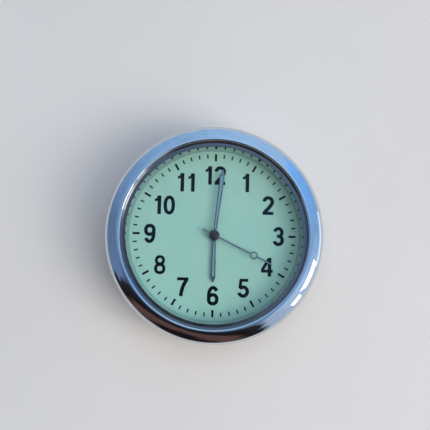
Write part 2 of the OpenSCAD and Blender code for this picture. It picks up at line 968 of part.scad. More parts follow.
// Tube that carries the minute hand, with the pinion that drives the motion work
module cannon_pinion() {
    z_low = level(1) + wheel_t + level_gap + pinion_over;
    color("silver")
        difference() {
            union() {
                disc(cannon_tube_r, z_low, z_minute_hand + hand_t - z_low);
                gear(cannon_n, motion_m, 0, z_motion + level_gap / 2, wheel_t + level_gap);
            }
            disc(cannon_bore_r, z_low - over, z_top - z_low);
        }
}

// Wheel and pinion that turn on a stud of the main plate
module minute_wheel() {
    z = z_motion + level_gap;
    pinion_top = z_dial - level_gap - wheel_t;
    color("gold")
        at(minute_at)
            difference() {
                union() {
                    gear(minute_n, motion_m, minute_turn, z, wheel_t);
                    gear(minute_pinion_n, hour_m, 0, z + wheel_t, pinion_top - z - wheel_t);
                }
                disc(stud_r + shaft_fit, z - over, motion_gap);
            }
}

// Wheel on the tube that carries the hour hand
module hour_wheel() {
    hub_gap = 0.12;
    z = z_motion + 2 * level_gap + wheel_t + hub_gap;
    color("gold")
        difference() {
            union() {
                gear(hour_n, hour_m, hour_turn, z, wheel_t);
                disc(hour_tube_r, z, z_hour_hand + hand_t - z);
            }
            disc(hour_bore_r, z - over, z_top - z);
        }
}

module setting_arbor() {
    color("silver")
        at(setting_at) {
            disc(setting_shaft_r, z_knob, z_motion + level_gap - z_knob);
            gear(setting_n, motion_m, setting_turn, z_motion + level_gap / 2, wheel_t + level_gap);
        }
}

module set_knob() {
    color("black")
        at(setting_at)
            translate([0, 0, z_knob])
                linear_extrude(knob_t)
                    difference() {
                        polygon([
                            for (i = [0 : knob_ridges - 1])
                                for (p = [[knob_ridge_h, 0.05], [0, 0.25], [0, 0.75], [knob_ridge_h, 0.95]])
                                    polar(knob_r - p[0], (i + p[1]) * 360 / knob_ridges)
                        ]);
                        circle(r = setting_shaft_r);
                    }
}

// Turns a hand drawn along +Y to its place on the dial
module on_dial(angle, z, t) {
    rotate(-angle)
        translate([0, 0, z])
            linear_extrude(t)
                children();
}

// Half the width of a hand of the given length, at distance y from the centre
function half_w(len, y) = (hand_root_w + (hand_w - hand_root_w) * y / (len - hand_point)) / 2;

module pointer_2d(len) {
    root = half_w(len, 0);
    shoulder = len - hand_point;
    wide = half_w(len, shoulder);
    polygon([[-root, 0], [root, 0], [wide, shoulder], [0, len], [-wide, shoulder]]);
}

module inlay_2d(len) {
    to = len - hand_point - hand_edge;
    near = half_w(len, inlay_from) - hand_edge;
    far = half_w(len, to) - hand_edge;
    polygon([[-near, inlay_from], [near, inlay_from], [far, to], [-far, to]]);
}

module hand_2d(len, bore_r) {
    difference() {
        union() {
            circle(r = hub_r);
            pointer_2d(len);
        }
        circle(r = bore_r);
        inlay_2d(len);
    }
}

module hour_hand() {
    color("slategray")
        on_dial(hour_angle, z_hour_hand, hand_t)
            hand_2d(hour_len, hour_tube_r);
}

module hour_hand_inlay() {
    color("honeydew")
        on_dial(hour_angle, z_hour_hand, hand_t)
            inlay_2d(hour_len);
}

module minute_hand() {
    color("slategray")
        on_dial(minute_angle, z_minute_hand, hand_t)
            hand_2d(minute_len, cannon_tube_r);
}

module minute_hand_inlay() {
    color("honeydew")
        on_dial(minute_angle, z_minute_hand, hand_t)
            inlay_2d(minute_len);
}

module second_hand() {
    boss_r = 0.6;
    boss_h = z_second_hand - z_minute_hand - hand_t - level_gap;
    ring_band = 0.25;
    color("dimgray")
        difference() {
            union() {
                on_dial(second_angle, z_second_hand, second_t)
                    difference() {
                        union() {
                            translate([-second_w / 2, -second_tail])
                                square([second_w, second_tail + second_len]);
                            translate([0, ring_at])
                                circle(d = ring_d);
                        }
                        translate([0, ring_at])
                            circle(d = ring_d - 2 * ring_band);
                    }
                disc(boss_r, z_second_hand - boss_h, boss_h + second_t);
            }
            disc(seconds_shaft_r, z_second_hand - boss_h - over, boss_h + second_t + 2 * over);
        }
}

module second_hand_cap() {
    dome_r = (hub_cap_r * hub_cap_r + cap_dome_h * cap_dome_h) / (2 * cap_dome_h);
    z = z_second_hand + second_t;
    color("dimgray")
        intersection() {
            translate([0, 0, z + cap_dome_h - dome_r])
                sphere(r = dome_r);
            disc(2 * hub_cap_r, z, cap_dome_h);
        }
}

adhesive_pad();
base_cup();
bezel();
crystal_gasket();
crystal();
dial_surround();
dial();
movement_ring();
rear_cover();
battery_cap();
main_plate();
train_bridge();
bridge_screws();
dial_washer();
coil_core();
coil_winding();
stator();
motor_screws();
rotor_magnet();
rotor_pinion();
circuit_board();
board_screws();
chip_cover();
quartz_can();
battery();
positive_strap();
negative_contact();
intermediate_wheel();
intermediate_pinion();
seconds_wheel();
seconds_pinion();
third_wheel();
third_pinion();
centre_wheel();
cannon_pinion();
minute_wheel();
hour_wheel();
setting_arbor();
set_knob();
hour_hand();
hour_hand_inlay();
minute_hand();
minute_hand_inlay();
second_hand();
second_hand_cap();
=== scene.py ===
import math

import bmesh
import bpy
from mathutils import Matrix, Vector
from mathutils.geometry import tessellate_polygon


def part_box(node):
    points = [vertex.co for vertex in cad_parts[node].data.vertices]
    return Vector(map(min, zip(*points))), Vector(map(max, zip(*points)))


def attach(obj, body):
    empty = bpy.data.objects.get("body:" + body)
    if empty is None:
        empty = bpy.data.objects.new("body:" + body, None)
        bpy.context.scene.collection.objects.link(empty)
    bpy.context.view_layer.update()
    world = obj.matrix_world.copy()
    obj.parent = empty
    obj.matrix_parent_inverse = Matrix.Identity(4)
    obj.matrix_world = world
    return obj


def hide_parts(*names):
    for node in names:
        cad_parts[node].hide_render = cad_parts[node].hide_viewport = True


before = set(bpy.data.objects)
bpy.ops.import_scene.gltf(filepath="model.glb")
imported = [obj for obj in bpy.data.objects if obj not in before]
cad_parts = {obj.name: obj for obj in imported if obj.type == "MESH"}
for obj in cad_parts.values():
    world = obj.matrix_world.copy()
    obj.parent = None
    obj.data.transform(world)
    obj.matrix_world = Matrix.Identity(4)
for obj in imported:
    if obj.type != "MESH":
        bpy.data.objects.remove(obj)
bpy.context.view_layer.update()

# Metres in a millimetre
MM = 0.001

# Sizes in millimetres, as in the part's source
CASE_R = 20.0
BORE_R = 17.7
STACK_R = 17.6
FOOT_R = 19.45
FOOT_ROUND = 0.5
CREST_R = 17.75
CREST_ARC_R = 2.76
EDGE_ROLL_R = 1.3
LIP_R = 17.14
LIP_ROUND = 0.28
GLASS_R = 16.72
SURROUND_TOP_R = 16.34
SURROUND_LOW_R = 15.88
BASE_R = 17.64
BASE_WALL = 1.2
PAD_R = 16.54
HUB_R = 1.0
HUB_CAP_R = 0.86
CAP_DOME = 0.24
HAND_W = 0.9
HAND_ROOT_W = 0.62
HAND_POINT = 1.0
HAND_EDGE = 0.2
INLAY_FROM = 1.2
HOUR_LEN = 8.8
MINUTE_LEN = 12.4
SECOND_LEN = 11.9
SECOND_TAIL = 2.4
SECOND_W = 0.3
SECOND_T = 0.12
RING_AT = 8.2
RING_D = 1.45
RING_BAND = 0.25
HOUR_BORE_R = 0.72
MINUTE_BORE_R = 0.51
SHAFT_R = 0.24
BOSS_R = 0.6

# Heights in millimetres, as in the part's source
Z_PAD = 1.0
Z_SKIRT = 1.2
Z_FLOOR = 2.0
Z_RIM = 3.2
Z_GROOVE = 3.55
GROOVE_H = 0.3
GROOVE_D = 0.17
Z_FACE = 8.4
Z_GLASS = 10.9
Z_LIP = 11.8
Z_GLASS_TOP = 12.3
Z_TOP = 13.0

# Angles in degrees: the fall of the land between crest and lip, and the hands, clockwise from 12 o'clock
LAND_SLOPE = 2.5
HOUR_ANGLE = 180.4
MINUTE_ANGLE = 6.4
SECOND_ANGLE = 115.8

# Air between polished or clear faces that lie on each other
AIR = 0.015

# Steps round a turned piece, and round the small hub cap
ROUND = 256
CAP_STEPS = 96
# Edges that fold by more than this many degrees stay sharp
CORNER = 32
# Points of a CAD mesh closer than this, in metres, become one
WELD = 1e-7
# Faces of a CAD mesh that fold by less than this many degrees become one
FLAT = 0.5


def polar(r, degrees):
    a = math.radians(degrees)
    return (r * math.cos(a), r * math.sin(a))


def oval_arc(cx, cy, rx, ry, start, end, steps):
    """Points of an elliptical arc, angles in degrees."""
    points = []
    for i in range(steps + 1):
        a = math.radians(start + (end - start) * i / steps)
        points.append((cx + rx * math.cos(a), cy + ry * math.sin(a)))
    return points


def arc(cx, cy, r, start, end, steps):
    """Points of a circular arc, angles in degrees."""
    return oval_arc(cx, cy, r, r, start, end, steps)


def circle(r, steps, cx=0.0, cy=0.0):
    return arc(cx, cy, r, 0, 360, steps)[:-1]


def curve(start, pull, end, steps=14):
    """Points of a quadratic curve."""
    points = []
    for i in range(steps + 1):
        t = i / steps
        weights = ((1 - t) ** 2, 2 * t * (1 - t), t ** 2)
        x = sum(weight * point[0] for weight, point in zip(weights, (start, pull, end)))
        y = sum(weight * point[1] for weight, point in zip(weights, (start, pull, end)))
        points.append((x, y))
    return points


def bar_loop(width, start, end):
    """Outline of a bar along the Y axis."""
    half = width / 2
    return [(-half, start), (half, start), (half, end), (-half, end)]


def turn(points, degrees):
    """Points turned clockwise about the origin, as a hand turns."""
    a = math.radians(-degrees)
    return [(x * math.cos(a) - y * math.sin(a), x * math.sin(a) + y * math.cos(a)) for x, y in points]


def inset(loop, step):
    """Closed loop moved to its left, with mitred corners."""
    moved = []
    count = len(loop)
    for i in range(count):
        here = Vector(loop[i])
        before = here - Vector(loop[i - 1])
        after = Vector(loop[(i + 1) % count]) - here
        middle = Vector((-before.y, before.x)).normalized() + Vector((-after.y, after.x)).normalized()
        moved.append(tuple(here + middle * (2 * step / middle.length_squared)))
    return moved


def finished(name, bm):
    """Object made of a mesh in metres, shaded smooth up to its sharp edges."""
    bmesh.ops.recalc_face_normals(bm, faces=bm.faces)
    for face in bm.faces:
        face.smooth = True
    for edge in bm.edges:
        edge.smooth = edge.calc_face_angle(0) < math.radians(CORNER)
    mesh = bpy.data.meshes.new(name)
    bm.to_mesh(mesh)
    bm.free()
    piece = bpy.data.objects.new(name, mesh)
    bpy.context.scene.collection.objects.link(piece)
    return piece


def turned(name, section, steps=ROUND):
    """Solid of revolution about +Z, from a closed section of (r, z) points."""
    bm = bmesh.new()
    rings = []
    for r, z in section:
        around = circle(r, steps) if r > 0 else [(0.0, 0.0)]
        rings.append([bm.verts.new((x * MM, y * MM, z * MM)) for x, y in around])
    for near, far in zip(rings, rings[1:] + rings[:1]):
        if len(near) == 1 and len(far) == 1:
            continue
        for i in range(steps):
            j = (i + 1) % steps
            corners = (near[i % len(near)], near[j % len(near)], far[j % len(far)], far[i % len(far)])
            bm.faces.new(list(dict.fromkeys(corners)))
    return finished(name, bm)


def slab(bm, loops, low, high, bevel=0.0):
    """Adds a plate between two heights: its outline runs anticlockwise and its holes clockwise."""
    levels = [(loops, low), (loops, high - bevel)]
    if bevel > 0:
        levels.append(([inset(loop, bevel) for loop in loops], high))
    rings = []
    for level, z in levels:
        rings.append([[bm.verts.new((x * MM, y * MM, z * MM)) for x, y in loop] for loop in level])
    for lower, upper in zip(rings, rings[1:]):
        for ring_low, ring_up in zip(lower, upper):
            count = len(ring_low)
            for i in range(count):
                j = (i + 1) % count
                bm.faces.new((ring_low[i], ring_low[j], ring_up[j], ring_up[i]))
    for ends in (rings[0], rings[-1]):
        corners = [vert for ring in ends for vert in ring]
        for triangle in tessellate_polygon([[vert.co for vert in ring] for ring in ends]):
            bm.faces.new([corners[k] for k in triangle])


def refined(node, name, bevel):
    """Copy of a CAD node's mesh with its sharp edges rounded off by bevel."""
    bm = bmesh.new()
    bm.from_mesh(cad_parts[node].data)
    bmesh.ops.remove_doubles(bm, verts=bm.verts, dist=WELD)
    bmesh.ops.dissolve_limit(bm, angle_limit=math.radians(FLAT), verts=bm.verts, edges=bm.edges)
    sharp = [edge for edge in bm.edges if edge.calc_face_angle(0) > math.radians(CORNER)]
    bmesh.ops.bevel(bm, geom=sharp, offset=bevel * MM, segments=2, profile=0.5, affect="EDGES",
                    clamp_overlap=True)
    return finished(name, bm)


def heights(node):
    """Lowest and highest level of a CAD node, in millimetres."""
    return [corner.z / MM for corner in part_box(node)]


# Materials: the sizes of patterns and the depths of reliefs are in millimetres
# Part of a pattern's range in which most of its values lie
MIDDLE = (0.35, 0.65)
# Size of the patches of roughness, as a share of the patches of colour
ROUGH_PATCH = 0.4


def blank(name):
    """New material with one Principled shader."""
    mat = bpy.data.materials.new(name)
    mat.use_nodes = True
    tree = mat.node_tree
    tree.nodes.clear()
    out = tree.nodes.new("ShaderNodeOutputMaterial")
    shader = tree.nodes.new("ShaderNodeBsdfPrincipled")
    tree.links.new(shader.outputs["BSDF"], out.inputs["Surface"])
    return mat, tree, shader


def end_in_mix(tree, factor, first, second):
    """Lets a material end in a mix of two shaders."""
    mix = tree.nodes.new("ShaderNodeMixShader")
    tree.links.new(factor, mix.inputs["Fac"])
    tree.links.new(first, mix.inputs[1])
    tree.links.new(second, mix.inputs[2])
    out = next(node for node in tree.nodes if node.type == "OUTPUT_MATERIAL")
    tree.links.new(mix.outputs["Shader"], out.inputs["Surface"])


def place_in_space(tree):
    """Coordinates on the object in metres."""
    return tree.nodes.new("ShaderNodeTexCoord").outputs["Object"]


def texture(tree, kind, repeats):
    """New texture node of a kind, with its repeats in a metre."""
    node = tree.nodes.new(kind)
    node.inputs["Scale"].default_value = repeats
    tree.links.new(place_in_space(tree), node.inputs["Vector"])
    return node


def noise(tree, size):
    """Noise with features of about the given size."""
    node = texture(tree, "ShaderNodeTexNoise", 1 / (size * MM))
    node.inputs["Detail"].default_value = 3.0
    return node.outputs["Fac"]


def cells(tree, size):
    """Distance to the nearest cell centre, for foam."""
    return texture(tree, "ShaderNodeTexVoronoi", 1 / (size * MM)).outputs["Distance"]


def turning_marks(tree, size):
    """Rings about the Z axis, as turning and winding leave them."""
    node = texture(tree, "ShaderNodeTexWave", 0.5 / (size * MM))
    node.wave_type = "RINGS"
    node.rings_direction = "Z"
    node.inputs["Distortion"].default_value = 1.5
    node.inputs["Detail"].default_value = 2.0
    return node.outputs["Fac"]


def spread(tree, factor, low, high, span=MIDDLE):
    """Values that go from low to high as the factor goes through a span."""
    node = tree.nodes.new("ShaderNodeMapRange")
    node.inputs["From Min"].default_value = span[0]
    node.inputs["From Max"].default_value = span[1]
    node.inputs["To Min"].default_value = low
    node.inputs["To Max"].default_value = high
    tree.links.new(factor, node.inputs["Value"])
    return node.outputs["Result"]


def ramp(tree, factor, *stops):
    """Colours between stops of a position and a colour each."""
    node = tree.nodes.new("ShaderNodeValToRGB")
    while len(node.color_ramp.elements) < len(stops):
        node.color_ramp.elements.new(0.5)
    for element, (position, colour) in zip(node.color_ramp.elements, stops):
        element.position = position
        element.color = (*colour, 1)
    tree.links.new(factor, node.inputs["Fac"])
    return node.outputs["Color"]


def tones(tree, factor, dark, light):
    """Colours from dark to light over the middle of a pattern."""
    return ramp(tree, factor, (MIDDLE[0], dark), (MIDDLE[1], light))


def bump(tree, shader, height, depth):
    """Relief of the given depth."""
    node = tree.nodes.new("ShaderNodeBump")
    node.inputs["Distance"].default_value = depth * MM
    tree.links.new(height, node.inputs["Height"])
    tree.links.new(node.outputs["Normal"], shader.inputs["Normal"])


def surface(name, dark, light, patch, rough, relief, depth,
            metallic=0.0, pattern=noise, specular=0.5, ior=1.5):
    """Material whose colour and roughness drift over patches and whose relief has a size of its own."""
    mat, tree, shader = blank(name)
    shader.inputs["Metallic"].default_value = metallic
    shader.inputs["Specular IOR Level"].default_value = specular
    shader.inputs["IOR"].default_value = ior
    tree.links.new(tones(tree, noise(tree, patch), dark, light), shader.inputs["Base Color"])
    tree.links.new(spread(tree, noise(tree, patch * ROUGH_PATCH), *rough), shader.inputs["Roughness"])
    bump(tree, shader, pattern(tree, relief), depth)
    return mat


def clear_glass(name):
    """Glass that lets lamps and soft light reach what lies behind it."""
    mat, tree, shader = blank(name)
    shader.inputs["Base Color"].default_value = (0.97, 0.99, 0.985, 1)
    shader.inputs["Transmission Weight"].default_value = 1
    shader.inputs["IOR"].default_value = 1.2
    smear_size = 4.0
    smear_rough = 0.012
    tree.links.new(spread(tree, noise(tree, smear_size), 0.0, smear_rough), shader.inputs["Roughness"])
    path = tree.nodes.new("ShaderNodeLightPath")
    either = tree.nodes.new("ShaderNodeMath")
    either.operation = "MAXIMUM"
    tree.links.new(path.outputs["Is Shadow Ray"], either.inputs[0])
    tree.links.new(path.outputs["Is Diffuse Ray"], either.inputs[1])
    open_way = tree.nodes.new("ShaderNodeBsdfTransparent")
    open_way.inputs["Color"].default_value = (0.95, 0.97, 0.96, 1)
    end_in_mix(tree, either.outputs["Value"], shader.outputs["BSDF"], open_way.outputs["BSDF"])
    return mat


chrome = surface("chrome", (0.62, 0.66, 0.70), (0.67, 0.705, 0.74),
                 patch=6.0, rough=(0.03, 0.06), relief=1.6, depth=0.0005, metallic=1.0)
mirror = surface("polished_ring", (0.54, 0.56, 0.59), (0.60, 0.62, 0.65),
                 patch=3.0, rough=(0.02, 0.04), relief=0.8, depth=0.0001, metallic=1.0)
glass = clear_glass("glass")
rubber = surface("gasket_rubber", (0.012, 0.014, 0.019), (0.02, 0.023, 0.03),
                 patch=2.0, rough=(0.12, 0.2), relief=0.12, depth=0.001, ior=2.25)
dial_paint = surface("dial_paint", (0.30, 0.51, 0.42), (0.32, 0.532, 0.437),
                     patch=5.0, rough=(0.5, 0.62), relief=0.09, depth=0.004)
ink = surface("dial_ink", (0.003, 0.005, 0.010), (0.006, 0.009, 0.016),
              patch=0.6, rough=(0.45, 0.6), relief=0.06, depth=0.003, specular=0.05)
hand_metal = surface("hand_metal", (0.23, 0.26, 0.28), (0.29, 0.32, 0.34),
                     patch=0.8, rough=(0.16, 0.24), relief=0.05, depth=0.001, metallic=1.0)
hand_lume = surface("hand_lume", (0.135, 0.255, 0.29), (0.175, 0.30, 0.335),
                    patch=0.5, rough=(0.55, 0.7), relief=0.05, depth=0.006)
hand_dark = surface("hand_dark", (0.33, 0.305, 0.26), (0.39, 0.365, 0.315),
                    patch=0.8, rough=(0.16, 0.24), relief=0.05, depth=0.001, metallic=1.0)
hub_dark = surface("hub_dark", (0.016, 0.013, 0.018), (0.028, 0.024, 0.03),
                   patch=0.5, rough=(0.12, 0.2), relief=0.05, depth=0.001)
plastic = surface("black_plastic", (0.016, 0.016, 0.017), (0.028, 0.028, 0.029),
                  patch=4.0, rough=(0.42, 0.56), relief=0.10, depth=0.012)
foam = surface("foam_tape", (0.028, 0.028, 0.030), (0.05, 0.05, 0.052),
               patch=1.2, rough=(0.8, 0.95), relief=0.28, depth=0.10, pattern=cells)
white = surface("white_plastic", (0.72, 0.71, 0.67), (0.80, 0.79, 0.75),
                patch=3.0, rough=(0.4, 0.55), relief=0.15, depth=0.006)
brass = surface("wheel_brass", (0.56, 0.40, 0.15), (0.68, 0.50, 0.21),
                patch=1.2, rough=(0.2, 0.34), relief=0.10, depth=0.002, metallic=1.0, pattern=turning_marks)
steel = surface("bright_steel", (0.50, 0.51, 0.52), (0.60, 0.61, 0.62),
                patch=1.0, rough=(0.16, 0.3), relief=0.08, depth=0.002, metallic=1.0, pattern=turning_marks)
magnet = surface("magnet", (0.10, 0.10, 0.11), (0.16, 0.16, 0.17),
                 patch=0.4, rough=(0.35, 0.5), relief=0.06, depth=0.004, metallic=1.0)
copper = surface("copper_wire", (0.40, 0.14, 0.05), (0.56, 0.22, 0.09),
                 patch=0.5, rough=(0.3, 0.42), relief=0.08, depth=0.02, metallic=0.9, pattern=turning_marks)
board = surface("board_laminate", (0.02, 0.10, 0.045), (0.03, 0.14, 0.06),
                patch=0.8, rough=(0.3, 0.45), relief=0.2, depth=0.008)
resin = surface("chip_resin", (0.010, 0.010, 0.011), (0.02, 0.02, 0.021),
                patch=0.8, rough=(0.25, 0.45), relief=0.3, depth=0.02)

# CAD nodes that keep their shape and get a material
DRESSED = {
    white: ("movement_ring", "main_plate", "rotor_pinion"),
    brass: ("train_bridge", "dial_washer", "intermediate_wheel", "seconds_wheel", "third_wheel",
            "centre_wheel", "minute_wheel", "hour_wheel", "negative_contact"),
    steel: ("bridge_screws", "motor_screws", "board_screws", "stator", "coil_core", "quartz_can", "battery",
            "positive_strap", "intermediate_pinion", "seconds_pinion", "third_pinion", "cannon_pinion",
            "setting_arbor"),
    magnet: ("rotor_magnet",),
    copper: ("coil_winding",),
    board: ("circuit_board",),
    resin: ("chip_cover",),
    dial_paint: ("dial",),
}
for finish, nodes in DRESSED.items():
    for node in nodes:
        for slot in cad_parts[node].material_slots:
            slot.material = finish


def fit(piece, mat, body, slot, *nodes):
    """Gives a piece its material and the body it rides on, and hides the CAD nodes it stands for."""
    piece.data.materials.append(mat)
    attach(piece, body)
    if nodes:
        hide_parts(*nodes)
    return piece


# Case
def bezel_section():
    """Up the outside, over the crest, down to the lip and back along the bore."""
    roll_in = CREST_ARC_R - EDGE_ROLL_R
    slope = math.degrees(math.asin((CASE_R - CREST_R - EDGE_ROLL_R) / roll_in))
    arc_z = Z_TOP - CREST_ARC_R
    out, up = polar(roll_in, 90 - slope)
    foot_z = Z_SKIRT + FOOT_ROUND
    wall_h = arc_z + up - foot_z
    foot = arc(FOOT_R - FOOT_ROUND, foot_z, FOOT_ROUND, -90, 0, 10)
    wall = [(FOOT_R + (CASE_R - FOOT_R) * share, foot_z + wall_h * share) for share in (0.25, 0.5, 0.75)]
    roll = arc(CREST_R + out, arc_z + up, EDGE_ROLL_R, 0, 90 - slope, 24)
    crest = arc(CREST_R, arc_z, CREST_ARC_R, 90 - slope, 90 + LAND_SLOPE, 48)[1:]
    land_r, land_z = crest[-1]
    back, rise = polar(LIP_ROUND, 90 + LAND_SLOPE)
    lip_at = LIP_R + LIP_ROUND
    drop = (land_r - lip_at - back) * math.tan(math.radians(LAND_SLOPE))
    lip = arc(lip_at, land_z - drop - rise, LIP_ROUND, 90 + LAND_SLOPE, 180, 16)
    groove_r = BORE_R + GROOVE_D
    groove_top = Z_GROOVE + GROOVE_H
    bore = [(LIP_R, Z_LIP), (BORE_R, Z_LIP), (BORE_R, groove_top), (groove_r, groove_top),
            (groove_r, Z_GROOVE), (BORE_R, Z_GROOVE), (BORE_R, Z_SKIRT)]
    return foot + wall + roll + crest + lip + bore


fit(turned("bezel_ring", bezel_section()), chrome, "clock", "chrome", "bezel")

# The gasket falls inwards from the lip, and its thin flat edge lies on the rim of the glass
GASKET_FLAT_R = 16.8
GASKET_EDGE_R = 16.2
GASKET_EDGE_H = 0.08
GASKET_FALL = 0.2
# The fall starts this far inside the lip
GASKET_STEP = 0.02
# Point that the fall's curve is pulled to, out from and above the flat edge's outer end
GASKET_PULL_R = 0.1
GASKET_PULL_H = 0.05
# Width of the slant at the edge, and the height at which it ends
GASKET_SLANT = 0.03
GASKET_TIP_H = 0.012
# Short flat beside a bend, which keeps the shading of the flat part even
GASKET_HOLD = 0.02
z_under = Z_GLASS_TOP + AIR
z_edge = Z_GLASS_TOP + GASKET_EDGE_H
z_fall = z_edge + GASKET_FALL
slant_r = GASKET_EDGE_R + GASKET_SLANT
gasket = [(GLASS_R + AIR, Z_GLASS), (STACK_R, Z_GLASS), (STACK_R, Z_LIP), (LIP_R, Z_LIP), (LIP_R, z_fall)]
gasket += curve((LIP_R - GASKET_STEP, z_fall), (GASKET_FLAT_R + GASKET_PULL_R, z_edge + GASKET_PULL_H),
                (GASKET_FLAT_R, z_edge), 8)
gasket += [(GASKET_FLAT_R - GASKET_HOLD, z_edge), (slant_r + GASKET_HOLD, z_edge), (slant_r, z_edge),
           (GASKET_EDGE_R, z_under + GASKET_TIP_H), (GASKET_EDGE_R, z_under), (GLASS_R + AIR, z_under)]
fit(turned("gasket_ring", gasket), rubber, "clock", "gasket_rubber", "crystal_gasket")

GLASS_EDGE = 0.12
GLASS_LOW_EDGE = 0.04
pane = [(0, Z_GLASS), (GLASS_R - GLASS_LOW_EDGE, Z_GLASS), (GLASS_R, Z_GLASS + GLASS_LOW_EDGE),
        (GLASS_R, Z_GLASS_TOP - GLASS_EDGE), (GLASS_R - GLASS_EDGE, Z_GLASS_TOP), (0, Z_GLASS_TOP)]
fit(turned("crystal_pane", pane), glass, "clock", "glass", "crystal")

SURROUND_EDGE = 0.04
z_ledge = Z_GLASS - AIR
surround = [(SURROUND_LOW_R, Z_FACE), (STACK_R, Z_FACE), (STACK_R, z_ledge),
            (SURROUND_TOP_R + SURROUND_EDGE, z_ledge), (SURROUND_TOP_R, z_ledge - SURROUND_EDGE)]
fit(turned("surround_ring", surround), mirror, "clock", "polished_ring", "dial_surround")

# Base
BASE_ROUND = 0.25
RIM_OUTER_ROUND = 0.3
RIM_INNER_ROUND = 0.15
HOLLOW_ROUND = 0.4
hollow_r = BASE_R - BASE_WALL
base = [(0, Z_PAD), (BASE_R - BASE_ROUND, Z_PAD)]
base += arc(BASE_R - BASE_ROUND, Z_PAD + BASE_ROUND, BASE_ROUND, -90, 0, 6)[1:]
base += arc(BASE_R - RIM_OUTER_ROUND, Z_RIM - RIM_OUTER_ROUND, RIM_OUTER_ROUND, 0, 90, 6)
base += arc(hollow_r + RIM_INNER_ROUND, Z_RIM - RIM_INNER_ROUND, RIM_INNER_ROUND, 90, 180, 4)
base += arc(hollow_r - HOLLOW_ROUND, Z_FLOOR + HOLLOW_ROUND, HOLLOW_ROUND, 0, -90, 6)
base += [(0, Z_FLOOR)]
fit(turned("base_shell", base), plastic, "base", "black_plastic", "base_cup")

# Foam pad with a bulging side
PAD_BULGE = 0.12
PAD_RINGS = 12
pad_radii = [PAD_R * k / PAD_RINGS for k in range(1, PAD_RINGS)]
pad = [(0, 0)] + [(r, 0) for r in pad_radii]
pad += oval_arc(PAD_R - PAD_BULGE, Z_PAD / 2, PAD_BULGE, Z_PAD / 2, -90, 90, 14)
pad += [(r, Z_PAD) for r in reversed(pad_radii)] + [(0, Z_PAD)]
foam_pad = fit(turned("foam_pad", pad), foam, "base", "foam_tape", "adhesive_pad")

# Back
fit(refined("rear_cover", "rear_plate", bevel=0.05), plastic, "clock", "black_plastic", "rear_cover")
fit(refined("battery_cap", "battery_hatch", bevel=0.06), plastic, "cap", "black_plastic", "battery_cap")
fit(refined("set_knob", "setting_wheel", bevel=0.05), plastic, "setting", "black_plastic", "set_knob")

# Numbers on the dial, drawn with strokes in units of a digit's height
DIGIT_H = 3.48
DIGIT_W = 0.59
ONE_W = 0.32
DIGIT_GAP = 0.16
TWIN_GAP = 0.25
NUMBER_R = 13.2
NUMBER_BOX_H = 3.75
# Widths of strokes: straight stems, bowls, the slimmer bowls of 0 and 3, and bars
STEM = 0.195
BOWL = 0.19
SLIM_BOWL = 0.185
BAR = 0.165
# Height of the print; each further stroke of a digit is higher by a step, so that no two tops coincide
PRINT_H = 0.02
PRINT_STEP = 0.001
# The print lies a little off the hands' axis, slanting numbers lie further out, and 11 lies a little high
PRINT_SHIFT = (0.02, 0.1)
SLANT_OUT = 0.2
ELEVEN_UP = 0.25
# Power of an oval with slightly squared shoulders, where 2 gives an ellipse
OVAL_POWER = 2.3
OVAL_STEPS = 44


def oval(cx, cy, rx, ry):
    """Closed oval with slightly squared shoulders."""
    points = []
    for i in range(OVAL_STEPS):
        a = 2 * math.pi * i / OVAL_STEPS
        c = math.cos(a)
        s = math.sin(a)
        x = math.copysign(abs(c) ** (2 / OVAL_POWER), c)
        y = math.copysign(abs(s) ** (2 / OVAL_POWER), s)
        points.append((cx + rx * x, cy + ry * y))
    return points


def stroke(path, width):
    """Loop of a stroke with flat ends along an open path."""
    left = []
    right = []
    for i, point in enumerate(path):
        way = Vector(path[min(i + 1, len(path) - 1)]) - Vector(path[max(i - 1, 0)])
        side = Vector((-way.y, way.x)).normalized() * (width / 2)
        left.append(tuple(Vector(point) + side))
        right.append(tuple(Vector(point) - side))
    return [right + left[::-1]]


def closed_stroke(path, width):
    """Loops of a stroke along a closed path that runs anticlockwise."""
    return [inset(path, -width / 2), inset(path, width / 2)[::-1]]


def six():
    stalk = [(0.08, 0.33), (0.08, 0.45)] + oval_arc(0.305, 0.54, 0.225, 0.385, 180, 33, 20)
    return [closed_stroke(oval(0.295, 0.31, 0.215, 0.235), BOWL), stroke(stalk, BOWL)]


def upside_down(shapes):
    return [[[(DIGIT_W - x, 1 - y) for x, y in ring] for ring in shape] for shape in shapes]


